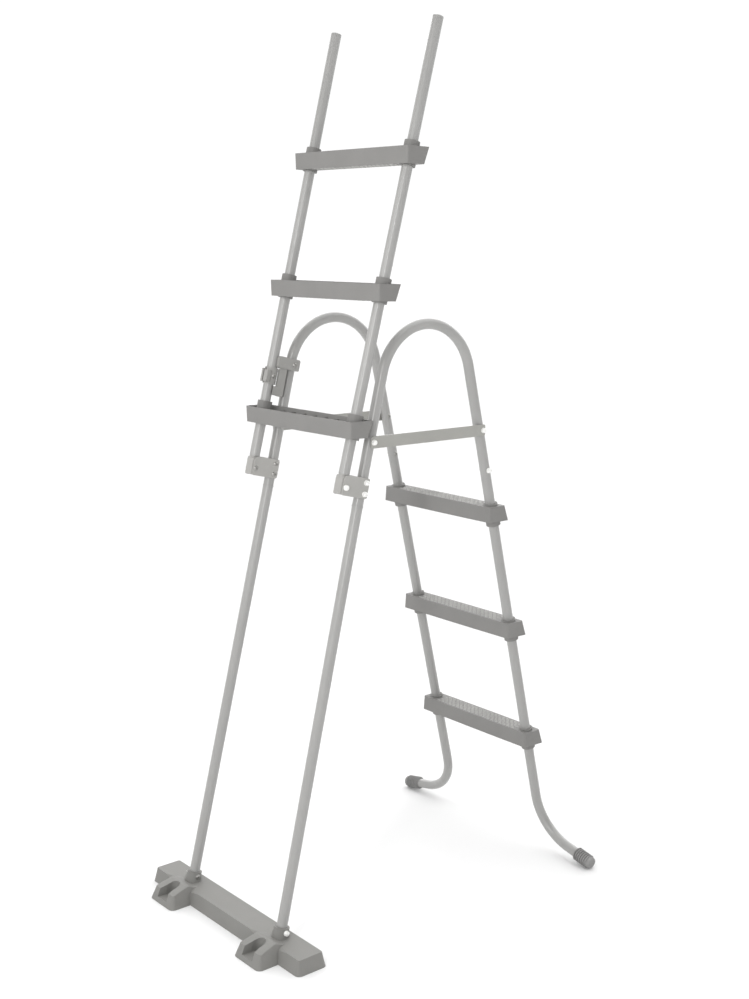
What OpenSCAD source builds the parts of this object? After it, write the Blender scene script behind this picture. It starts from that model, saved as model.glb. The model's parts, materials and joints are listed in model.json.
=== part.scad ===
// Fold-up safety ladder for an above-ground pool, shown with its outer steps folded up and latched.
// X runs across the ladder, Y from the outer side (-) to the pool side (+), Z up from the floor.

/* [Tubes] */
// Outside diameter of every tube
tube_od = 25.4; // [24:0.1:27]
// Wall thickness of every tube
tube_wall = 1.0; // [0.8:0.1:1.6]

/* [Side frames] */
// Half the distance between the two side frames, tube centre to tube centre
side_x = 174.5; // [165:0.5:185]
// Half the distance between the uprights at the floor
upright_foot_x = 185.3; // [176:0.1:190]
// Lean of the uprights towards the pool, in degrees
outer_tilt = 13.36; // [12:0.01:14.5]
// Lean of the pool-side legs towards the pool wall, in degrees
inner_tilt = 13.61; // [12:0.01:14.5]
// Distance on the floor between the uprights' line and the pool-side legs' line
leg_spread = 904.9; // [880:0.1:930]
// Centreline radius of the handrail arch
arch_r = 140.5; // [130:0.5:150]
// Height at which a handrail plugs into its upright
upright_joint_z = 1018; // [1000:1:1025]
// Height at which a handrail meets its pool-side leg
splice_joint_z = 1038; // [1020:1:1045]

/* [Feet] */
// Bend radius of the pool-side legs' feet
foot_bend_r = 120; // [100:1:130]
// Bend angle of the feet, in degrees
foot_bend = 81; // [76:0.5:86]
// Straight length after the foot bend
foot_straight = 89.8; // [80:0.1:95]
// Turn of the feet towards the uprights, in degrees
foot_toe = 4.5; // [0:0.1:8]
// Radius of the foot caps over their rings
cap_r = 18; // [16:0.1:19]

/* [Base] */
// Length of the base bar
base_length = 620; // [600:1:640]
// Height of the base bar
base_height = 35; // [32:1:40]
// How far the base bar reaches in front of and behind the uprights' line
base_front = 34; // [32:1:36]
base_back = 50; // [46:1:54]
// How far the two forward blocks reach in front of the uprights' line
block_front = 88; // [84:1:90]
// Width of a forward block
block_width = 102; // [96:1:106]
// Inward lean of the moulded sides over the bar's height
base_draft = 8.5; // [4:0.5:11]
// Height of a forward block at its front edge
block_low = 32; // [26:1:33]
// Height of a forward block beside its socket
block_high = 43; // [40:1:52]

/* [Folding steps] */
// Distance of the fold pivot in front of its handrail's centreline
pivot_offset = 57.7; // [57:0.1:58]
// Lean of the step rails when they are folded up, in degrees
stowed_tilt = 14.4; // [14.2:0.01:14.6]
// Lean of the step rails when they stand in the base, in degrees
in_use_tilt = 13.35; // [13.2:0.01:13.5]
// Length of a step rail from the pivot to its plugged end
rail_length = 1079; // [1076:1:1082]
// Half the distance between the step rails at their plugged ends
rail_tip_x = 183.2; // [182:0.1:184]

/* [Treads] */
// Height of a tread's body
tread_height = 38.5; // [36:0.5:40]
// Tread body behind the rail's centre, at its top, on the side facing the wall
tread_wall_top = 25.6; // [24:0.1:27]
// Tread body behind the rail's centre, at its lower rim
tread_wall_rim = 27; // [25:0.1:28]
// Tread body in front of the rail's centre, at its top, on the climber's side
tread_user_top = 28.3; // [26:0.1:30]
// Tread body in front of the rail's centre, at its lower rim
tread_user_rim = 40.8; // [38:0.1:42]
// Radius of the collars around the rails
collar_r = 18; // [17:0.1:19]
// Height of the lowest pool-side tread
inner_tread_z = 347; // [340:1:355]
// Height of the lowest folding tread when in use
step_tread_z = 346; // [340:1:350]

/* [Latch] */
// Height of the latch housing's bolt
latch_z = 1311.6; // [1308:0.1:1313]

/* [Hidden] */
$fn = 48;

tube_r = tube_od / 2;
bore_r = tube_r - tube_wall;
tube_colour = [0.71, 0.71, 0.69];
plastic_colour = [0.58, 0.58, 0.56];
zinc_colour = [0.75, 0.75, 0.73];
cap_colour = [0.93, 0.93, 0.91];
through = 1;                    // how far a cutting shape runs past the face it opens

// The origin is below the middle of the whole ladder: foot_y places the uprights' line on the floor.
ladder_back = 905.7;            // pool-side face of the foot caps, measured from the uprights' line
foot_y = (block_front - ladder_back) / 2;

function outer_y(z) = foot_y + z * tan(outer_tilt);
function inner_y(z) = foot_y + leg_spread - z * tan(inner_tilt);

// Handrail arch
arch_z = (leg_spread - arch_r / cos(outer_tilt) - arch_r / cos(inner_tilt))
    / (tan(outer_tilt) + tan(inner_tilt));
arch_y = outer_y(arch_z) + arch_r / cos(outer_tilt);
arch_sweep = 180 - outer_tilt - inner_tilt;
outer_tangent_z = arch_z + arch_r * sin(outer_tilt);
inner_tangent_z = arch_z + arch_r * sin(inner_tilt);
rail_to_upright = (outer_tangent_z - upright_joint_z) / cos(outer_tilt);
spigot_length = 30;
spigot_gap = 0.5;               // radial play of a plugged tube end
shoulder = 3;                   // length over which a tube end steps down

upright_splay = atan((upright_foot_x - side_x) / upright_joint_z);
upright_start = 9;              // where the tube stands in its socket
upright_length = upright_joint_z / cos(outer_tilt) / cos(upright_splay) - upright_start - 0.3;
lip_h = 4;                      // rolled lip at an upright's upper end

// Feet
foot_fall = sin(foot_bend) * sin(foot_toe) * sin(inner_tilt) + cos(foot_bend) * cos(inner_tilt);
cap_rounding = 5;
cap_length = 56;
cap_end = 3;
cap_ring = 1.5;                 // rounding of a ring's crest
cap_groove = 3.6;               // depth of the grooves between the rings
cap_pitch = 6.6;
cap_rings = 7;
cap_nose = 12;                  // plain nose beyond the last ring
foot_end = foot_straight - cap_end;
rest_s = foot_straight - cap_nose;
rest_z = (cap_r - cap_ring) * sqrt(1 - foot_fall * foot_fall) + cap_ring;
foot_reach = foot_bend_r * (1 - cos(foot_bend)) + rest_s * sin(foot_bend);
foot_drop = foot_bend_r * sin(foot_bend) + rest_s * cos(foot_bend);
bend_z = rest_z + foot_reach * sin(foot_toe) * sin(inner_tilt) + foot_drop * cos(inner_tilt);

// Fold pivot and bracket
bracket_z = 1058.3;             // height of the bracket's middle on the handrail
bracket_half = 23.5;            // half its length along the handrail
bracket_back = 10;              // how far it reaches behind the handrail's centreline
bracket_front = 65.5;           // how far its cheeks reach in front of it
cheek_gap = 13.3;               // half the space between its two cheeks
cheek = 2.5;
web_front = 22;                 // front of the block that grips the handrail
bracket_bolt_t = 13;            // its two bolts lie this far above and below the middle
shoulder_r = 11;                // rounding of the upper front corner
heel_r = 5;                     // rounding of the lower front corner
knuckle_front = pivot_offset + tube_r; // flush with the front of the rail
knuckle_edge = 6;               // rounding of the knuckle's upright edges
pivot_t = -5.2;
pivot_y = outer_y(bracket_z) - pivot_offset * cos(outer_tilt) + pivot_t * sin(outer_tilt);
pivot_z = bracket_z + pivot_offset * sin(outer_tilt) + pivot_t * cos(outer_tilt);
fold_range = 180 + stowed_tilt - in_use_tilt;
rail_splay = atan((rail_tip_x - side_x) / (rail_length * cos(stowed_tilt)));
rail_start = 28.6;              // the rail tube starts this far from the pivot
plug_head = 3;

// Bolts
bolt_r = 3;
bolt_hole_r = 3.3;
pivot_bolt_r = 4;
bush_r = 6;
bush_bore_r = 4.06;
head_h = 3.6;
head_r = 6;
key_r = 2.4;                    // hexagon socket in a bolt's head
key_depth = 2;
cap_nut_r = 5.9;
cap_nut_flange = 0.7;
cap_nut_h = 5.8;
cap_nut_dome = 2.6;
thread_in_nut = 5;

// Brace, splice and sockets
brace_z = 1162;
brace_half = 14;
brace_end = 7.5;                // how far it reaches past its bolts
brace_thick = 3;
brace_x = side_x + tube_r + 0.1;
splice_z = 1059.7;
socket_top = 60;
socket_bolt_t = 50;
socket_r_top = 17.5;
socket_r_bar = 21;

// Base
shell = 3;
base_corner = 13;
pocket_x = 183.2;
pocket_r = 16;
pocket_mouth = 50;              // from the pocket's centre out past the block's front
pocket_flare = 24;
pocket_floor = 12;
pocket_level = 26;              // height at which the rail crosses the pocket's centre
pocket_y = pivot_y - (pivot_z - pocket_level) * tan(in_use_tilt);
dip_reach = 60;                 // how far the bar's front edge dips beside a block
dip_slope = 28;
dip_start = [24, -12];          // where a dip begins, from the pocket's middle and the uprights' line

// Treads
tread_step_inner = 310.5;
tread_step_outer = 305;
tread_wall = 2.6;
tread_end_inner = 26;           // how far a tread reaches past its rails
tread_end_outer = 29;
tread_end_draft = 1.5;
collar_above = 4.5;
tread_corner = 6;
tread_bow = 1.4;
collar_below = 12;
rail_fit = 0.2;
rib_pitch = 42;

// Latch, in the frame of the handrail: y is across the tube, -y is forwards
housing_half = 14.2;
housing_inner = 19;
housing_outer = 17;
housing_front = 50;
pin_p = 30;
pin_t = -4;
pin_r = 2;
lever_plate = [-16.2, -13.2];
lever_front = 41;
lever_back = 19;
lever_toe = 50;                 // the lever's lower end reaches forward beside the step rail
lever_bottom = -84;
lever_flange_x = -9.2;
clip_s = 228.6;
clip_half = 20;
clip_r = 16;

// ---------- shared shapes ----------

module left() mirror([1, 0, 0]) children();

module both() {
    children();
    left() children();
}

// A solid drawn in the Y-Z plane and pulled out along +X
module pull_x(length) rotate([90, 0, 90]) linear_extrude(length) children();

// A solid drawn in the X-Z plane and pulled out along +Y
module pull_y(length) translate([0, length, 0]) rotate([90, 0, 0]) linear_extrude(length) children();

module rounded_rect(width, height, r) {
    translate([r, 0]) square([width - 2 * r, height]);
    translate([0, r]) square([width, height - 2 * r]);
    for (a = [r, width - r], b = [r, height - r]) translate([a, b]) circle(r);
}

module tube(length) difference() {
    cylinder(r = tube_r, h = length);
    translate([0, 0, -through]) cylinder(r = bore_r, h = length + 2 * through);
}

// A reduced tube end that plugs into the next tube, with the shoulder it steps down from
module spigot() difference() {
    union() {
        cylinder(r = tube_r, h = shoulder);
        translate([0, 0, -spigot_length]) cylinder(r = bore_r - spigot_gap, h = spigot_length);
    }
    translate([0, 0, -spigot_length - through])
        cylinder(r = bore_r - spigot_gap - tube_wall, h = spigot_length + shoulder + 2 * through);
}

module annulus() difference() {
    circle(tube_r);
    circle(bore_r);
}

// A hole or shank along X, centred on its own origin
module cross(r, length) rotate([0, 90, 0]) cylinder(r = r, h = length, center = true);

// A low dome on a disc, growing along +Z
module dome(r, h) {
    ball = (r * r + h * h) / (2 * h);
    intersection() {
        cylinder(r = r, h = h);
        translate([0, 0, h - ball]) sphere(ball, $fn = 96);
    }
}

// A bolt along +X from the inner face at x = 0 to the nut's seat at x = grip
module bolt(grip, r) {
    rotate([0, 90, 0]) cylinder(r = r, h = grip + thread_in_nut);
    rotate([0, -90, 0]) difference() {
        dome(head_r, head_h);
        translate([0, 0, head_h - key_depth]) cylinder(r = key_r, h = key_depth + through, $fn = 6);
    }
}

// A capped nut whose seat lies at x = 0
module cap_nut(r) rotate([0, 90, 0]) difference() {
    union() {
        cylinder(r = cap_nut_r + cap_nut_flange, h = 1);
        cylinder(r = cap_nut_r, h = cap_nut_h);
        translate([0, 0, cap_nut_h]) dome(cap_nut_r, cap_nut_dome);
    }
    translate([0, 0, -through]) cylinder(r = r + 0.05, h = thread_in_nut + 0.5 + through);
}

// Frames of reference, all for the right-hand side
module on_upright() translate([upright_foot_x, foot_y, 0])
    rotate([-outer_tilt, -upright_splay, 0]) children();
module on_handrail(z) translate([side_x, outer_y(z), z]) rotate([-outer_tilt, 0, 0]) children();
module on_inner_leg(z) translate([side_x, inner_y(z), z]) rotate([inner_tilt, 0, 0]) children();
module on_step_rail() translate([side_x, pivot_y, pivot_z])
    rotate([-stowed_tilt, rail_splay, 0]) children();

// Turns a piece drawn in its place in use up to its folded place
module folded_up() translate([0, pivot_y, pivot_z]) rotate([-fold_range, 0, 0])
    translate([0, -pivot_y, -pivot_z]) children();

// ---------- frame tubes ----------

module upright() difference() {
    on_upright() translate([0, 0, upright_start]) {
        tube(upright_length);
        translate([0, 0, upright_length - lip_h]) difference() {
            cylinder(r = tube_r + 0.7, h = lip_h);
            translate([0, 0, -through]) cylinder(r = tube_r - tube_wall / 2, h = lip_h + 2 * through);
        }
    }
    on_upright() translate([0, 0, socket_bolt_t]) cross(bolt_hole_r, 4 * tube_r);
}

// Filled joint line between a straight length of tube and a bend
module weld() difference() {
    cylinder(r = tube_r + 0.05, h = 0.8, center = true);
    cylinder(r = bore_r - 0.05, h = 2, center = true);
}

// Only one handrail carries the latch and its bolt
module handrail(latched) difference() {
    translate([side_x, arch_y, arch_z]) rotate([90, 0, 90]) rotate([0, 0, inner_tilt]) {
        rotate_extrude(angle = arch_sweep, $fn = 96) translate([arch_r, 0]) annulus();
        translate([arch_r, 0, 0]) rotate([90, 0, 0]) {
            weld();
            tube((inner_tangent_z - splice_joint_z) / cos(inner_tilt));
        }
        rotate([0, 0, arch_sweep]) translate([arch_r, 0, 0]) rotate([-90, 0, 0]) {
            weld();
            tube(rail_to_upright);
            translate([0, 0, rail_to_upright]) mirror([0, 0, 1]) spigot();
        }
    }
    on_handrail(bracket_z) for (t = [-bracket_bolt_t, bracket_bolt_t])
        translate([0, 0, t]) cross(bolt_hole_r, 4 * tube_r);
    on_handrail(brace_z) cross(bolt_hole_r, 4 * tube_r);
    on_inner_leg(brace_z) cross(bolt_hole_r, 4 * tube_r);
    on_inner_leg(splice_z) cross(bolt_hole_r, 4 * tube_r);
    if (latched) on_handrail(latch_z) cross(bolt_hole_r, 4 * tube_r);
}

module inner_leg() difference() {
    on_inner_leg(bend_z) rotate([0, 0, -foot_toe]) {
        weld();
        tube((splice_joint_z - bend_z) / cos(inner_tilt) - 0.3);
        translate([0, 0, (splice_joint_z - bend_z) / cos(inner_tilt) - 0.3]) mirror([0, 0, 1]) spigot();
        translate([foot_bend_r, 0, 0]) rotate([90, 0, 0]) rotate([0, 0, 180])
            rotate_extrude(angle = foot_bend, $fn = 96) translate([foot_bend_r, 0]) annulus();
        at_foot() {
            weld();
            tube(foot_end);
        }
    }
    on_inner_leg(splice_z) cross(bolt_hole_r, 4 * tube_r);
    for (k = [0 : 2]) translate([0, inner_y(inner_tread_height(k)), inner_tread_height(k)])
        tread_screw_place(side_x, inner_tilt, 0) screw_hole();
}

module at_foot() translate([foot_bend_r * (1 - cos(foot_bend)), 0, -foot_bend_r * sin(foot_bend)])
    rotate([0, 180 - foot_bend, 0]) children();

// Ringed rubber boot over the end of a leg
module foot_cap() {
    core = cap_r - cap_groove;
    nose = cap_r - cap_ring - 1.4;
    on_inner_leg(bend_z) rotate([0, 0, -foot_toe]) at_foot() difference() {
        translate([0, 0, foot_straight - cap_length]) rotate_extrude() {
            square([core, cap_length - cap_nose]);
            translate([0, cap_length - cap_nose]) square([nose, cap_nose - cap_rounding]);
            square([nose - cap_rounding, cap_length]);
            intersection() {
                translate([nose - cap_rounding, cap_length - cap_rounding]) circle(cap_rounding);
                square([nose, cap_length]);
            }
            for (k = [0 : cap_rings - 1]) translate([0, cap_length - cap_nose - cap_pitch * k]) {
                translate([0, -cap_ring]) square([cap_r - cap_ring, 2 * cap_ring]);
                translate([cap_r - cap_ring, 0]) circle(cap_ring);
            }
        }
        translate([0, 0, foot_end - cap_length]) cylinder(r = tube_r + 0.05, h = cap_length);
    }
}

module brace() {
    length = inner_y(brace_z) - outer_y(brace_z);
    translate([brace_x, outer_y(brace_z), brace_z]) difference() {
        translate([0, -brace_end, -brace_half]) pull_x(brace_thick)
            rounded_rect(length + 2 * brace_end, 2 * brace_half, 5);
        cross(bolt_hole_r, 10 * brace_thick);
        translate([0, length, 0]) cross(bolt_hole_r, 10 * brace_thick);
    }
}

// ---------- base ----------

// Corner posts whose hull is a long bar with leaning sides and rounded corners
module bar_outside(inset) hull() {
    top_r = base_corner - base_draft - min(inset, 1);
    front = foot_y - base_front + base_corner;
    back = foot_y + base_back - base_corner;
    for (x = [-1, 1] * (base_length / 2 - base_corner), y = [front, back]) translate([x, y, 0])
        cylinder(r1 = base_corner - inset, r2 = top_r, h = base_height - inset, $fn = 32);
}

// Slanted cut that lets the bar's front edge dip from dip_reach beyond a block towards the block
module dip(inset) {
    edge = [block_width / 2 + dip_reach, foot_y - base_front];
    along = [dip_start[0], foot_y + dip_start[1]] - edge;
    translate([edge[0], edge[1], base_height - inset])
        rotate([0, 0, atan2(along[1], along[0])]) rotate([-dip_slope, 0, 0])
            translate([-base_front, 0, 0]) cube([2 * base_front + dip_reach, base_front, base_height]);
}

// A forward block whose top climbs from its front edge to the socket
module block_outside(inset) hull() {
    r = base_corner - inset;
    slim = 5 - min(inset, 2);
    half = block_width / 2;
    for (x = [-1, 1]) translate([pocket_x, foot_y, 0]) {
        for (y = [-block_front + base_corner, -base_corner])
            translate([x * (half - base_corner), y, 0]) cylinder(r = r, h = 1, $fn = 32);
        // inward offset, place and height of the top's corners: front edge, crest, back edge
        for (c = [[16, -block_front + 17, block_low], [19, -30, block_high], [16, -10, base_height]])
            translate([x * (half - c[0]), c[1], c[2] - inset - 1]) cylinder(r = slim, h = 1, $fn = 32);
    }
}

module base_outside(inset) {
    difference() {
        bar_outside(inset);
        both() translate([pocket_x, 0, 0]) both() dip(inset);
    }
    block_outside(inset);
    left() block_outside(inset);
}

module base_ribs() {
    translate([-base_length / 2, foot_y + 6.5, -through]) cube([base_length, shell, base_height + through]);
    for (x = [-240 : 60 : 240]) translate([x - shell / 2, foot_y - block_front, -through])
        cube([shell, block_front + base_back, base_height + through]);
}

// The open pocket's plan, widened by grow
module pocket_plan(grow) {
    circle(pocket_r + grow);
    translate([-pocket_r - grow, -pocket_mouth]) square([2 * (pocket_r + grow), pocket_mouth]);
    polygon([
        [-pocket_r - grow, -6], [pocket_r + grow, -6],
        [pocket_flare + grow, -pocket_mouth], [-pocket_flare - grow, -pocket_mouth]
    ]);
}

// The pocket's back follows the lean of the rail that stands in it
module pocket(grow, from) both() translate([pocket_x, pocket_y, 0]) {
    translate([0, 0, from]) linear_extrude(2 * base_height) pocket_plan(grow);
    translate([0, 0, pocket_level]) rotate([-in_use_tilt, 0, 0])
        cylinder(r = pocket_r - 0.5 + grow, h = 2 * base_height);
}

module base_platform() color(plastic_colour) difference() {
    union() {
        difference() {
            base_outside(0);
            translate([0, 0, -through]) difference() {
                base_outside(shell);
                base_ribs();
                pocket(shell, -through);
            }
        }
        intersection() {
            both() on_upright() translate([0, 0, upright_start - shell])
                cylinder(r1 = socket_r_bar + 3, r2 = socket_r_top, h = socket_top - upright_start + shell);
            translate([-base_length, foot_y - base_length, 0]) cube(2 * base_length);
        }
        both() on_upright() translate([0, 0, socket_top - 3]) cylinder(r = socket_r_top + 0.8, h = 3);
    }
    pocket(0, pocket_floor);
    both() on_upright() {
        translate([0, 0, upright_start - 0.2]) cylinder(r = tube_r + rail_fit, h = socket_top);
        translate([0, 0, socket_bolt_t]) cross(bolt_hole_r, 6 * tube_r);
    }
    // flats for the bolt's head and nut
    both() on_upright() for (x = [-1, 1] * (socket_grip / 2 + 10))
        translate([x, 0, socket_bolt_t]) cross(cap_nut_r + cap_nut_flange + 0.6, 20);
}

// ---------- treads ----------

// A hollow moulded tread, seen from the rails' crossing of its top plane: +Y is the climber's side.
// rail_x is the rails' half distance there, splay how they spread downwards.
module tread(rail_x, reach, tilt, splay) {
    half = rail_x + reach;
    difference() {
        union() {
            difference() {
                tread_body(half, 0);
                difference() {
                    tread_body(half, tread_wall);
                    tread_ribs(rail_x);
                }
            }
            both() tread_rail(rail_x, tilt, splay, collar_r, collar_above, tread_height + collar_below);
        }
        both() {
            tread_rail(rail_x, tilt, splay, tube_r + rail_fit, 2 * collar_above, 2 * tread_height);
            tread_screw_place(rail_x, tilt, splay) screw_hole();
        }
    }
}

// Tapering block with rounded upright corners and slightly bowed long sides
module tread_body(half, inset) hull() {
    top = -inset - 0.02;
    rim = -tread_height - (inset > 0 ? through : 0);
    tread_outline(half - tread_end_draft - inset, inset - tread_wall_top, tread_user_top - inset, top, inset);
    tread_outline(half - inset, inset - tread_wall_rim, tread_user_rim - inset, rim, inset);
}

module tread_outline(half, back, front, z, inset) translate([0, 0, z]) {
    r = tread_corner - inset;
    for (x = [-half + r, half - r], y = [back + r, front - r])
        translate([x, y, 0]) cylinder(r = r, h = 0.02, $fn = 32);
    for (x = [-half / 2, 0, half / 2])
        translate([x, back - tread_bow * (1 - pow(x / half, 2)), 0])
            cube([0.02, front - back + 2 * tread_bow * (1 - pow(x / half, 2)), 0.02]);
}

module tread_ribs(rail_x) {
    rib = 2;
    rib_depth = tread_height - 8;
    for (x = [-3 : 3]) translate([x * rib_pitch - rib / 2, -2 * tread_user_rim, -rib_depth])
        cube([rib, 4 * tread_user_rim, rib_depth]);
    translate([-rail_x, 4 - rib / 2, -rib_depth]) cube([2 * rail_x, rib, rib_depth]);
}

module tread_rail(rail_x, tilt, splay, r, above, below)
    translate([rail_x, 0, 0]) rotate([tilt, -splay, 0])
        translate([0, 0, -below / cos(tilt)]) cylinder(r = r, h = (above + below) / cos(tilt));

module screw_hole() rotate([-90, 0, 0]) cylinder(r = 1.85, h = collar_r + through, $fn = 24);

// Screw through the collar's lower end, on the climber's side
module tread_screw_place(rail_x, tilt, splay)
    translate([rail_x, 0, 0]) rotate([tilt, -splay, 0])
        translate([0, 0, -(tread_height + collar_below / 2) / cos(tilt)]) children();

module tread_screw() rotate([-90, 0, 0]) {
    translate([0, 0, bore_r - 3]) cylinder(r = 1.75, h = collar_r - bore_r + 3, $fn = 24);
    translate([0, 0, collar_r]) dome(3.6, 1.8);
}

function inner_tread_height(k) = inner_tread_z + k * tread_step_inner;
function step_tread_height(k) = step_tread_z + k * tread_step_outer;
function step_rail_x(z) = side_x + (pivot_z - z) * tan(rail_splay);
function step_rail_y(z) = pivot_y - (pivot_z - z) * tan(in_use_tilt);

module inner_tread(k) color(plastic_colour)
    translate([0, inner_y(inner_tread_height(k)), inner_tread_height(k)])
        tread(side_x, tread_end_inner, inner_tilt, 0);

module place_step(k) folded_up() translate([0, step_rail_y(step_tread_height(k)), step_tread_height(k)])
    mirror([0, 1, 0]) children();

module step_tread(k) color(plastic_colour) place_step(k)
    tread(step_rail_x(step_tread_height(k)), tread_end_outer, in_use_tilt, rail_splay);

module inner_tread_screws() color(zinc_colour) for (k = [0 : 2])
    translate([0, inner_y(inner_tread_height(k)), inner_tread_height(k)])
        both() tread_screw_place(side_x, inner_tilt, 0) tread_screw();

module step_tread_screws() color(zinc_colour) for (k = [0 : 2]) place_step(k)
    both() tread_screw_place(step_rail_x(step_tread_height(k)), in_use_tilt, rail_splay) tread_screw();

// ---------- pivot ----------

// Rectangle with wide upper corners and tight lower ones
module shouldered(width, height) {
    rounded_rect(width, height, shoulder_r);
    rounded_rect(width, height / 2, heel_r);
}

// Side outline of a bracket in the handrail's frame, first axis across the tube, second along it
module bracket_outline() {
    translate([-bracket_front, -bracket_half]) shouldered(bracket_front - 10, 2 * bracket_half);
    translate([-bracket_front / 2, -bracket_half])
        rounded_rect(bracket_front / 2 + bracket_back, 2 * bracket_half, 5);
}

module pivot_bracket() on_handrail(bracket_z) difference() {
    union() {
        for (x = [-cheek_gap - cheek, cheek_gap]) translate([x, 0, 0]) pull_x(cheek) bracket_outline();
        translate([-cheek_gap - cheek / 2, -web_front, -bracket_half])
            cube([2 * cheek_gap + cheek, web_front + bracket_back - 5, 2 * bracket_half]);
    }
    translate([0, 0, -2 * bracket_half]) cylinder(r = tube_r + 0.1, h = 4 * bracket_half);
    for (t = [-bracket_bolt_t, bracket_bolt_t]) translate([0, 0, t]) cross(bolt_hole_r, 6 * cheek_gap);
    translate([0, -pivot_offset, pivot_t]) cross(pivot_bolt_r + 0.2, 6 * cheek_gap);
}

// Moulded end of a step rail: fills the space between the cheeks and turns on the pivot bolt
module pivot_knuckle() difference() {
    union() {
        on_handrail(bracket_z) intersection() {
            translate([-tube_r, 0, 0]) pull_x(2 * tube_r) translate([-knuckle_front, 1 - bracket_half])
                shouldered(2 * tube_r, 2 * bracket_half - 2);
            translate([-tube_r, -knuckle_front, -2 * bracket_half]) linear_extrude(4 * bracket_half)
                rounded_rect(2 * tube_r, 2 * tube_r, knuckle_edge);
        }
        on_step_rail() translate([0, 0, rail_start - 8]) cylinder(r = bore_r - 0.2, h = 40);
    }
    translate([side_x, pivot_y, pivot_z]) cross(bush_r, 4 * tube_r);
}

module pivot_bush() translate([side_x, pivot_y, pivot_z]) difference() {
    cross(bush_r, 2 * tube_r);
    cross(bush_bore_r, 4 * tube_r);
}

// Only one rail carries the strike clip and its bolt
module step_rail(latched) difference() {
    on_step_rail() translate([0, 0, rail_start]) tube(rail_length - plug_head - rail_start);
    for (k = [0 : 2]) place_step(k)
        tread_screw_place(step_rail_x(step_tread_height(k)), in_use_tilt, rail_splay) screw_hole();
    if (latched) on_step_rail() translate([0, 0, clip_s]) cross(bolt_hole_r, 4 * tube_r);
}

module rail_plug() on_step_rail() {
    translate([0, 0, rail_length - plug_head]) dome(tube_r, plug_head);
    translate([0, 0, rail_length - plug_head - 14]) cylinder(r = bore_r - 0.1, h = 14);
}

// ---------- bolts, right-hand side; the left side mirrors them ----------

bracket_grip = 2 * (cheek_gap + cheek);
module bracket_bolt_places() on_handrail(bracket_z) for (t = [-bracket_bolt_t, bracket_bolt_t])
    translate([-cheek_gap - cheek, 0, t]) children();
module pivot_bolt_place() on_handrail(bracket_z)
    translate([-cheek_gap - cheek, -pivot_offset, pivot_t]) children();
brace_grip = brace_x + brace_thick - side_x + tube_r;
module brace_bolt_places() {
    on_handrail(brace_z) translate([-tube_r, 0, 0]) children();
    on_inner_leg(brace_z) translate([-tube_r, 0, 0]) children();
}
module splice_bolt_place() on_inner_leg(splice_z) translate([-tube_r, 0, 0]) children();
socket_grip = 2 * socket_r_top + 1.6;
module socket_bolt_place() on_upright() translate([-socket_grip / 2, 0, socket_bolt_t]) children();

module screw(grip, r) color(zinc_colour) bolt(grip, r);
module nut(grip, r) color(cap_colour) translate([grip, 0, 0]) cap_nut(r);

// ---------- latch, drawn for the right-hand side and mirrored to the left ----------

module on_latch() on_handrail(latch_z) children();

module rail_clearance() on_step_rail() cylinder(r = tube_r + 0.4, h = rail_length);

module latch_housing() color(plastic_colour) left() difference() {
    on_latch() difference() {
        translate([-housing_inner, -housing_front, -housing_half]) pull_x(housing_inner + housing_outer)
            rounded_rect(housing_front + tube_r + 2, 2 * housing_half, 4);
        translate([0, 0, -3 * housing_half]) cylinder(r = tube_r + 0.4, h = 6 * housing_half);
        cross(bolt_hole_r, 6 * tube_r);
        // slot for the lever and well for its spring
        translate([lever_plate[0] - 0.4, -lever_front - 2, -2 * housing_half])
            cube([lever_plate[1] - lever_plate[0] + 0.8, lever_front - lever_back + 8, 2 * housing_half + 8]);
        translate([lever_plate[1], -lever_front - 2, -2 * housing_half])
            cube([9, lever_front - 21, 2 * housing_half + 4]);
        translate([-housing_inner / 2 - 2, -pin_p, pin_t]) cross(pin_r + 0.02, 17);
    }
    rail_clearance();
}

module latch_pin() color(zinc_colour) left() on_latch()
    translate([-housing_inner / 2 - 2, -pin_p, pin_t]) cross(pin_r, 15);

// Torsion spring around the pin, as a swept wire with a short leg at each end
module latch_spring() color(zinc_colour) left() on_latch() translate([-12.4, -pin_p, pin_t]) {
    coil_r = 3.4;
    wire_r = 0.55;
    turns = 3.5;
    rise = 7.4;
    rings = 60;
    sides = 8;
    ring = [for (k = [0 : rings], a = [0 : sides - 1])
        let (turn = 360 * turns * k / rings, r = coil_r + wire_r * cos(360 * a / sides))
        [rise * k / rings + wire_r * sin(360 * a / sides), r * cos(turn), r * sin(turn)]];
    skin = [for (k = [0 : rings - 1], a = [0 : sides - 1])
        let (b = (a + 1) % sides)
        [k * sides + a, k * sides + b, (k + 1) * sides + b, (k + 1) * sides + a]];
    ends = [[for (a = [sides - 1 : -1 : 0]) a], [for (a = [0 : sides - 1]) rings * sides + a]];
    polyhedron(ring, concat(skin, ends), convexity = 8);
}

module latch_lever() color(plastic_colour) left() on_latch() difference() {
    union() {
        translate([lever_plate[0], -lever_front, lever_bottom]) pull_x(lever_plate[1] - lever_plate[0])
            rounded_rect(lever_front - lever_back, -lever_bottom + pin_t + 6, 5);
        translate([lever_plate[0], -lever_toe, lever_bottom + 1]) pull_x(lever_plate[1] - lever_plate[0])
            rounded_rect(lever_toe - lever_back - 6, 22, 3);
        difference() {
            translate([lever_plate[0], -lever_front, lever_bottom + 5])
                cube([lever_flange_x - lever_plate[0], 3, -lever_bottom - housing_half - 9]);
            for (k = [0 : 7]) translate([lever_flange_x, -lever_front, lever_bottom + 14 + 6 * k])
                cross(1, 12);
        }
    }
    translate([0, -pin_p, pin_t]) cross(pin_r + 0.07, 4 * tube_r);
}

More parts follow.
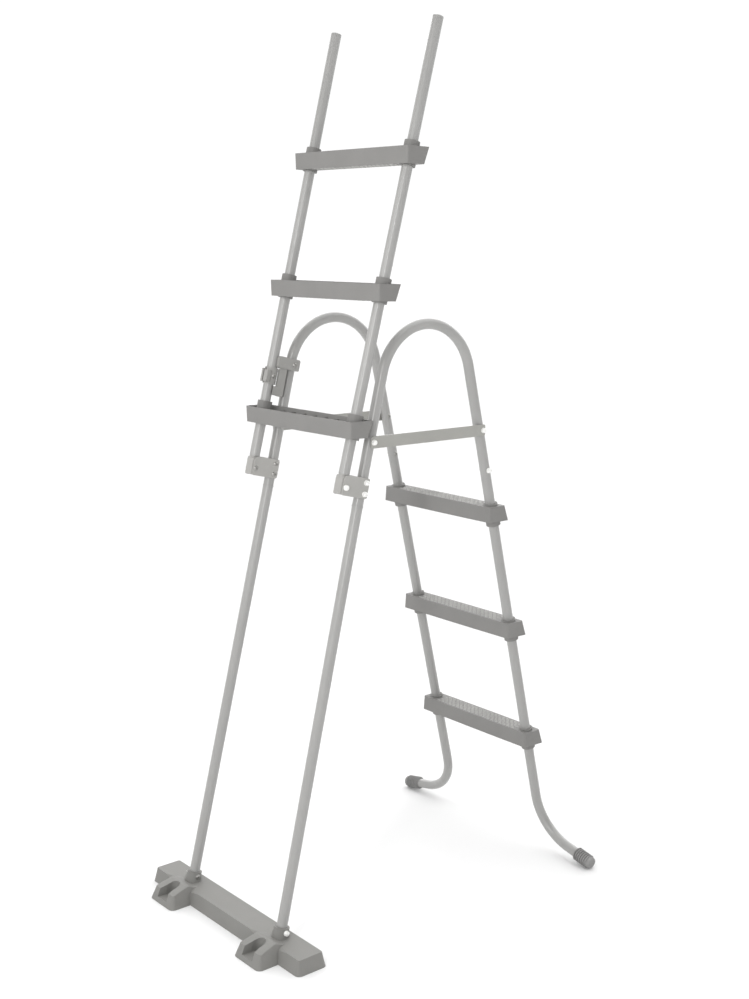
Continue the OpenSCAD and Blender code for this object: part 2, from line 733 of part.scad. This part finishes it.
module strike_clip() color(plastic_colour) left() difference() {
    on_step_rail() translate([0, 0, clip_s - clip_half]) difference() {
        union() {
            cylinder(r = clip_r, h = 2 * clip_half);
            translate([-clip_r, -tube_r - 8, 4]) cube([clip_r, 10, 2 * clip_half - 12]);
            translate([4, -clip_r - 4, 3]) cube([6, 8, 2 * clip_half - 8]);
        }
        translate([0, 0, -through]) cylinder(r = tube_r + 0.1, h = 2 * clip_half + 2 * through);
        translate([-2, -clip_r - 12, -through]) cube([4, clip_r, 2 * clip_half + 2 * through]);
    }
    on_step_rail() translate([0, 0, clip_s]) cross(bolt_hole_r, 4 * clip_r);
}

clip_grip = 2 * clip_r;
module clip_bolt_place() on_step_rail() translate([-clip_r, 0, clip_s]) children();
housing_grip = housing_inner + housing_outer;
module housing_bolt_place() on_latch() translate([-housing_inner, 0, 0]) children();

// ---------- nodes ----------

base_platform();
color(tube_colour) left() upright();  // upright_left
color(tube_colour) upright();  // upright_right
color(tube_colour) left() handrail(true);  // handrail_left
color(tube_colour) handrail(false);  // handrail_right
color(tube_colour) left() inner_leg();  // inner_leg_left
color(tube_colour) inner_leg();  // inner_leg_right
color(plastic_colour) left() foot_cap();  // foot_cap_left
color(plastic_colour) foot_cap();  // foot_cap_right
color(tube_colour) left() brace();  // brace_left
color(tube_colour) brace();  // brace_right
color(plastic_colour) left() pivot_bracket();  // pivot_bracket_left
color(plastic_colour) pivot_bracket();  // pivot_bracket_right
inner_tread(2);  // inner_tread_top
inner_tread(1);  // inner_tread_middle
inner_tread(0);  // inner_tread_bottom
inner_tread_screws();
both() pivot_bolt_place() screw(bracket_grip, pivot_bolt_r);  // pivot_bolts
both() pivot_bolt_place() nut(bracket_grip, pivot_bolt_r);  // pivot_bolt_caps
both() bracket_bolt_places() screw(bracket_grip, bolt_r);  // bracket_bolts
both() bracket_bolt_places() nut(bracket_grip, bolt_r);  // bracket_bolt_caps
both() brace_bolt_places() screw(brace_grip, bolt_r);  // brace_bolts
both() brace_bolt_places() nut(brace_grip, bolt_r);  // brace_bolt_caps
both() splice_bolt_place() screw(tube_od, bolt_r);  // splice_bolts
both() splice_bolt_place() nut(tube_od, bolt_r);  // splice_bolt_caps
both() socket_bolt_place() screw(socket_grip, bolt_r);  // socket_bolts
both() socket_bolt_place() nut(socket_grip, bolt_r);  // socket_bolt_caps
latch_housing();
left() housing_bolt_place() screw(housing_grip, bolt_r);  // latch_housing_bolt
left() housing_bolt_place() nut(housing_grip, bolt_r);  // latch_housing_bolt_cap
latch_pin();
latch_spring();
latch_lever();
color(tube_colour) left() step_rail(true);  // step_rail_left
color(tube_colour) step_rail(false);  // step_rail_right
color(plastic_colour) left() pivot_knuckle();  // pivot_knuckle_left
color(plastic_colour) pivot_knuckle();  // pivot_knuckle_right
color(cap_colour) both() pivot_bush();  // pivot_bushes
step_tread(2);  // step_tread_top
step_tread(1);  // step_tread_middle
step_tread(0);  // step_tread_bottom
step_tread_screws();
color(plastic_colour) both() rail_plug();  // rail_end_plugs
strike_clip();
left() clip_bolt_place() screw(clip_grip, bolt_r);  // strike_clip_bolt
left() clip_bolt_place() nut(clip_grip, bolt_r);  // strike_clip_bolt_cap
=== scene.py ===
"""Looks for the folding pool ladder: materials, soft edges, tread grip bars, studio and camera."""
import json
import math

import bmesh
import bpy
from mathutils import Matrix, Vector


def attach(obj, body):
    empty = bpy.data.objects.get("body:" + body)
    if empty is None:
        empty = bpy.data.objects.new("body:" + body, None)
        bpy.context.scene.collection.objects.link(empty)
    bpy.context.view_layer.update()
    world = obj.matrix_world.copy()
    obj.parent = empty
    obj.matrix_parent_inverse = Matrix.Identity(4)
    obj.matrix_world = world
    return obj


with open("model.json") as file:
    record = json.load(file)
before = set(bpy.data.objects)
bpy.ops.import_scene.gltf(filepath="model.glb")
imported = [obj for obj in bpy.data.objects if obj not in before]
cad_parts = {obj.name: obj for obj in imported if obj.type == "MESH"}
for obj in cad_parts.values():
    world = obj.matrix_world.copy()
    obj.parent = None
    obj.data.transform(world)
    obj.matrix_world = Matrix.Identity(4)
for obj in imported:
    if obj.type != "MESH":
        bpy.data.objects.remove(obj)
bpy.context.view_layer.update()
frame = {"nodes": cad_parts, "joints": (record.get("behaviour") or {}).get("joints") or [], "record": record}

NODES = frame["nodes"]
JOINTS = {j["name"]: j for j in frame["joints"]}
SLOT_OF = {s["node"]: s["material_slot"] for s in frame["record"]["subparts"]}
MM = 0.001

TREADS = [node for node in NODES if "_tread_" in node and not node.endswith("screws")]
BRACKETS = ("pivot_bracket_left", "pivot_bracket_right")
KNUCKLES = ("pivot_knuckle_left", "pivot_knuckle_right")
BRACES = ("brace_left", "brace_right")
LATCH_PARTS = ("latch_housing", "latch_lever", "strike_clip")


# ---------- materials ----------

class Shader:
    """One material, with the node patterns that the finishes share."""

    def __init__(self, name):
        self.mat = bpy.data.materials.new(name)
        self.mat.use_nodes = True
        self.tree = self.mat.node_tree
        self.bsdf = self.tree.nodes["Principled BSDF"]

    def new(self, kind):
        return self.tree.nodes.new(kind)

    def link(self, a, b):
        self.tree.links.new(a, b)

    def set(self, socket, value):
        """Gives one shader socket the same value all over."""
        self.bsdf.inputs[socket].default_value = value

    def noise(self, scale, detail=3.0, rough=0.5, stretch=(1, 1, 1)):
        """Noise in the piece's own metres, packed closer along the axes that stretch multiplies."""
        place = self.new("ShaderNodeTexCoord")
        mapping = self.new("ShaderNodeMapping")
        mapping.inputs["Scale"].default_value = stretch
        self.link(place.outputs["Object"], mapping.inputs["Vector"])
        texture = self.new("ShaderNodeTexNoise")
        texture.inputs["Scale"].default_value = scale
        texture.inputs["Detail"].default_value = detail
        texture.inputs["Roughness"].default_value = rough
        self.link(mapping.outputs["Vector"], texture.inputs["Vector"])
        return texture.outputs["Fac"]

    def mottle(self, colour, scale, spread):
        """Makes the base colour darker and lighter by spread in slow clouds; returns the clouds."""
        clouds = self.noise(scale, detail=4.0, rough=0.55)
        ramp = self.new("ShaderNodeValToRGB")
        stops = ((0.30, 1 - spread), (0.70, 1 + spread))
        for element, (where, factor) in zip(ramp.color_ramp.elements, stops):
            element.position = where
            element.color = (*(c * factor for c in colour), 1)
        self.link(clouds, ramp.inputs["Fac"])
        self.link(ramp.outputs["Color"], self.bsdf.inputs["Base Color"])
        return clouds

    def roughness(self, pattern, low, high):
        spread = self.new("ShaderNodeMapRange")
        spread.inputs["To Min"].default_value = low
        spread.inputs["To Max"].default_value = high
        self.link(pattern, spread.inputs["Value"])
        self.link(spread.outputs["Result"], self.bsdf.inputs["Roughness"])

    def bumps(self, *layers):
        """Each layer is (height output, strength, distance in metres), laid over the one before."""
        normal = None
        for height, strength, distance in layers:
            bump = self.new("ShaderNodeBump")
            bump.inputs["Strength"].default_value = strength
            bump.inputs["Distance"].default_value = distance
            self.link(height, bump.inputs["Height"])
            if normal:
                self.link(normal, bump.inputs["Normal"])
            normal = bump.outputs["Normal"]
        self.link(normal, self.bsdf.inputs["Normal"])


def painted_tube(name, colour):
    """Powder-coated tube: faint orange peel, slight unevenness of tone and gloss."""
    s = Shader(name)
    clouds = s.mottle(colour, scale=9.0, spread=0.035)
    peel = s.noise(900.0, detail=2.0, rough=0.4)
    fine = s.noise(2600.0, detail=1.0)
    s.roughness(clouds, low=0.30, high=0.40)
    s.bumps((peel, 0.10, 0.2 * MM), (fine, 0.05, 0.1 * MM))
    s.set("Metallic", 0.06)
    s.set("Specular IOR Level", 0.25)
    s.set("Coat Weight", 0.55)
    s.set("Coat Roughness", 0.16)
    return s.mat


def moulded(name, colour, grain=1400.0, depth=0.18 * MM, low=0.50, high=0.64, spread=0.04):
    """Moulded plastic with a spark-eroded grain and slow changes of tone."""
    s = Shader(name)
    clouds = s.mottle(colour, scale=14.0, spread=spread)
    pits = s.noise(grain, detail=2.0, rough=0.55)
    flow = s.noise(60.0, stretch=(1, 3, 1))
    s.roughness(clouds, low=low, high=high)
    s.bumps((flow, 0.06, 0.6 * MM), (pits, 0.35, depth))
    s.set("Specular IOR Level", 0.42)
    return s.mat


def fine_moulded(name, colour):
    """The finer-grained, glossier plastic of the brackets, knuckles, latch and end plugs."""
    return moulded(name, colour, grain=1700.0, depth=0.12 * MM, low=0.42, high=0.55)


def rubber(name, colour):
    """Matt rubber with small pits."""
    s = Shader(name)
    dust = s.mottle(colour, scale=40.0, spread=0.08)
    pits = s.noise(1800.0, detail=2.0)
    s.roughness(dust, low=0.66, high=0.80)
    s.bumps((pits, 0.30, 0.2 * MM))
    s.set("Specular IOR Level", 0.35)
    return s.mat


def zinc(name, colour):
    """Zinc-plated steel: fine turning marks and a cloudy, slightly warm sheen."""
    s = Shader(name)
    clouds = s.mottle(colour, scale=120.0, spread=0.09)
    marks = s.noise(1500.0, detail=2.0, stretch=(1, 6, 6))
    s.roughness(clouds, low=0.28, high=0.44)
    s.bumps((marks, 0.12, 0.1 * MM))
    s.set("Metallic", 0.9)
    return s.mat


def gloss_cap(name, colour):
    """Smooth white plastic of the bolt caps and the pivot bushes."""
    s = Shader(name)
    clouds = s.mottle(colour, scale=70.0, spread=0.02)
    skin = s.noise(700.0, detail=1.0, rough=0.4)
    s.roughness(clouds, low=0.28, high=0.36)
    s.bumps((skin, 0.08, 0.1 * MM))
    return s.mat


TUBE = painted_tube("tube_paint", (0.332, 0.329, 0.321))
BRACE = painted_tube("brace_paint", (0.332, 0.329, 0.307))
TREAD = moulded("tread_plastic", (0.210, 0.206, 0.199))
GRIP = moulded("grip_plastic", (0.430, 0.425, 0.410), spread=0.12)
BASE = moulded("base_plastic", (0.212, 0.209, 0.198), depth=0.22 * MM)
FITTING = fine_moulded("fitting_plastic", (0.370, 0.364, 0.348))
LATCH = fine_moulded("latch_plastic", (0.316, 0.311, 0.298))
KNUCKLE = fine_moulded("knuckle_plastic", (0.345, 0.339, 0.325))
ZINC = zinc("zinc_plate", (0.36, 0.355, 0.34))
CAP = gloss_cap("cap_plastic", (0.84, 0.84, 0.82))
FOOT = rubber("foot_rubber", (0.270, 0.267, 0.263))

LOOKS = {
    "tube": TUBE, "brace": BRACE, "tread": TREAD, "base": BASE,
    "fitting": FITTING, "zinc": ZINC, "cap": CAP, "foot": FOOT,
}


def dress(obj, material):
    obj.data.materials.clear()
    obj.data.materials.append(material)


for node, obj in NODES.items():
    dress(obj, LOOKS[SLOT_OF[node]])
for node in LATCH_PARTS:
    dress(NODES[node], LATCH)
for node in KNUCKLES:
    dress(NODES[node], KNUCKLE)


# ---------- soft edges on the CAD solids ----------

FLAT_WITHIN = math.radians(0.6)      # triangles this close to one plane count as one flat face
EDGE_FROM = math.radians(32)         # edges sharper than this are rounded


def smooth(obj, degrees=30):
    """Shades the surface smoothly, except across edges sharper than the angle."""
    for polygon in obj.data.polygons:
        polygon.use_smooth = True
    obj.data.set_sharp_from_angle(angle=math.radians(degrees))


def soften(nodes, width, segments=2):
    """Cleans the flat faces and rounds the sharp edges, without touching the meshes themselves."""
    for node in nodes:
        clean = NODES[node].modifiers.new("clean", "DECIMATE")
        clean.decimate_type = "DISSOLVE"
        clean.angle_limit = FLAT_WITHIN
        bevel = NODES[node].modifiers.new("edge", "BEVEL")
        bevel.width = width
        bevel.segments = segments
        bevel.limit_method = "ANGLE"
        bevel.angle_limit = EDGE_FROM
        bevel.use_clamp_overlap = True
        bevel.harden_normals = True


for obj in NODES.values():
    smooth(obj)
soften(TREADS, 1.2 * MM, segments=3)
soften(["base_platform"], 1.6 * MM, segments=3)
soften(BRACKETS, 0.7 * MM)
soften(BRACES, 0.5 * MM)
soften(LATCH_PARTS, 0.6 * MM)


# ---------- raised grip bars on the treads ----------

# One bar, and the field that the bars fill
BAR_LENGTH = 11.8 * MM
BAR_WIDTH = 3.0 * MM
BAR_HEIGHT = 0.9 * MM
BAR_SINK = 0.2 * MM                  # how far a bar's foot reaches into the tread
BAR_PITCH = 15.0 * MM
FIELD_LENGTH = 304 * MM
ROWS = [y * MM for y in (-18.5, -11.0, -3.5, 4.0, 11.5, 19.0)]
STEP_ROWS = [-y for y in ROWS]       # the folding treads face the other way

# The bar's width at each height, as a share of its full width, from the foot to the crown
BAR_RINGS = ((1.0, -BAR_SINK), (0.95, 0.55 * BAR_HEIGHT), (0.68, BAR_HEIGHT))

# Where the treads are, as the ladder stands in use
FOOT_Y = -408.85 * MM                # the uprights' line meets the floor here
LEG_SPREAD = 904.9 * MM              # from there to where the pool-side legs' line does
INNER_LEAN = math.tan(math.radians(13.61))
INNER_TREAD_Z = 347 * MM             # top of the lowest pool-side tread
INNER_TREAD_STEP = 310.5 * MM
IN_USE_LEAN = math.tan(math.radians(13.35))
STEP_TREAD_Z = 346 * MM              # top of the lowest folding tread
STEP_TREAD_STEP = 305 * MM

# The folding treads' bars are laid out in use, then folded up with the steps to the rest pose
PIVOT = Vector(JOINTS["fold"]["pos_m"])
FOLD_RANGE = math.radians(JOINTS["fold"]["range_deg"][1])
FOLDED_UP = (Matrix.Translation(PIVOT)
             @ Matrix.Rotation(-FOLD_RANGE, 4, "X")
             @ Matrix.Translation(-PIVOT))


def bar(mesh, x, y, z):
    """One low bar with round ends and sloping sides, standing on the plane at z."""
    outline = []
    r = BAR_WIDTH / 2
    for end, start in ((1, -90), (-1, 90)):
        for corner in range(5):
            a = math.radians(start + 45 * corner)
            outline.append((end * (BAR_LENGTH / 2 - r), r * math.cos(a), r * math.sin(a)))
    rings = []
    for share, up in BAR_RINGS:
        rings.append([mesh.verts.new((x + cx + dx * share, y + dy * share, z + up))
                      for cx, dx, dy in outline])
    count = len(outline)
    for low, high in zip(rings, rings[1:]):
        for k in range(count):
            mesh.faces.new((low[k], low[(k + 1) % count], high[(k + 1) % count], high[k]))
    mesh.faces.new(rings[-1])


def grip(name, body, centre_y, z, rows, turn=None):
    """Staggered rows of bars on the walking surface of one tread."""
    mesh = bmesh.new()
    for row, dy in enumerate(rows):
        count = int(FIELD_LENGTH / BAR_PITCH) - row % 2
        for k in range(count):
            bar(mesh, (k - (count - 1) / 2) * BAR_PITCH, centre_y + dy, z)
    bmesh.ops.recalc_face_normals(mesh, faces=mesh.faces)
    if turn:
        bmesh.ops.transform(mesh, matrix=turn, verts=mesh.verts)
    data = bpy.data.meshes.new(name)
    mesh.to_mesh(data)
    mesh.free()
    obj = bpy.data.objects.new(name, data)
    bpy.context.scene.collection.objects.link(obj)
    dress(obj, GRIP)
    smooth(obj, degrees=50)
    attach(obj, body)


for k, place in enumerate(("bottom", "middle", "top")):
    z = INNER_TREAD_Z + INNER_TREAD_STEP * k
    y = FOOT_Y + LEG_SPREAD - z * INNER_LEAN
    grip("inner_grip_" + place, "root", y, z, ROWS)
    z = STEP_TREAD_Z + STEP_TREAD_STEP * k
    y = PIVOT.y - (PIVOT.z - z) * IN_USE_LEAN
    grip("step_grip_" + place, "steps", y, z, STEP_ROWS, FOLDED_UP)


# ---------- studio ----------

FLOOR_SIZE = 400                     # metres, wide enough for its edge to lie at the horizon
WHITE_UP_TO = 0.34                   # these two are sines of the angle above the horizon
DIM_FROM = 0.44
SUN_AWAY = 3                         # only a place to put it: a sun lights the same from anywhere


def paper_floor(grey):
    """Matt paper under the ladder."""
    bpy.ops.mesh.primitive_plane_add(size=FLOOR_SIZE, location=(0, 0, 0))
    floor = bpy.context.object
    floor.name = "floor"
    s = Shader("floor_paper")
    s.set("Base Color", (grey, grey, grey, 1))
    s.set("Roughness", 0.9)
    s.set("Specular IOR Level", 0.1)
    floor.data.materials.append(s.mat)


def studio_world(horizon, ceiling):
    """Surround that is white below and along the horizon, and dim overhead."""
    world = bpy.data.worlds.new("studio")
    bpy.context.scene.world = world
    world.use_nodes = True
    tree = world.node_tree
    place = tree.nodes.new("ShaderNodeTexCoord")
    split = tree.nodes.new("ShaderNodeSeparateXYZ")
    ramp = tree.nodes.new("ShaderNodeValToRGB")
    stops = ((WHITE_UP_TO, horizon), (DIM_FROM, ceiling))
    for element, (where, grey) in zip(ramp.color_ramp.elements, stops):
        element.position = where
        element.color = (grey, grey, grey, 1)
    tree.links.new(place.outputs["Generated"], split.inputs["Vector"])
    tree.links.new(split.outputs["Z"], ramp.inputs["Fac"])
    tree.links.new(ramp.outputs["Color"], tree.nodes["Background"].inputs["Color"])


def lamp(name, kind, energy, place, aim):
    data = bpy.data.lights.new(name, kind)
    data.energy = energy
    light = bpy.data.objects.new(name, data)
    light.rotation_euler = Vector(aim).to_track_quat("-Z", "Y").to_euler()
    light.location = place
    bpy.context.scene.collection.objects.link(light)
    return light


def sun(name, strength, spread, aim):
    """Sun whose disc is spread degrees wide: the wider it is, the softer its shadows."""
    light = lamp(name, "SUN", strength, Vector(aim) * -SUN_AWAY, aim)
    light.data.angle = math.radians(spread)


def softbox(name, watts, size, place, aim):
    """Rectangular soft box: a tall narrow one draws the highlight down the tubes."""
    light = lamp(name, "AREA", watts, place, aim)
    light.data.shape = "RECTANGLE"
    light.data.size, light.data.size_y = size
    light.visible_camera = False


def add_camera(lens, place, turn, down, roll):
    """Camera at place, turned about Z, tipped down and rolled by angles in degrees."""
    data = bpy.data.cameras.new("camera")
    data.lens = lens
    data.sensor_width = 36
    data.sensor_fit = "AUTO"
    data.clip_end = 500
    camera = bpy.data.objects.new("camera", data)
    camera.matrix_world = (
        Matrix.Translation(place)
        @ Matrix.Rotation(math.radians(turn), 4, "Z")
        @ Matrix.Rotation(math.radians(90 - down), 4, "X")
        @ Matrix.Rotation(math.radians(roll), 4, "Z")
    )
    bpy.context.scene.collection.objects.link(camera)
    bpy.context.scene.camera = camera


paper_floor(grey=0.81)
studio_world(horizon=1.03, ceiling=0.10)
sun("overhead", strength=3.6, spread=110, aim=(0.32, -0.42, -1.0))
sun("front", strength=0.22, spread=40, aim=(-0.05, 0.98, -0.40))
softbox("key", watts=8, size=(1.2, 1.2), place=(-0.2, -2.0, 2.2), aim=(0.2, 2.0, -1.1))
softbox("strip", watts=29, size=(0.28, 2.0), place=(1.55, -2.60, 2.1), aim=(-0.55, 0.80, -0.25))
add_camera(lens=49.25, place=(2.54936, -2.11757, 1.60482), turn=49.882, down=10.558, roll=0.403)
bpy.context.scene.view_settings.view_transform = "Standard"
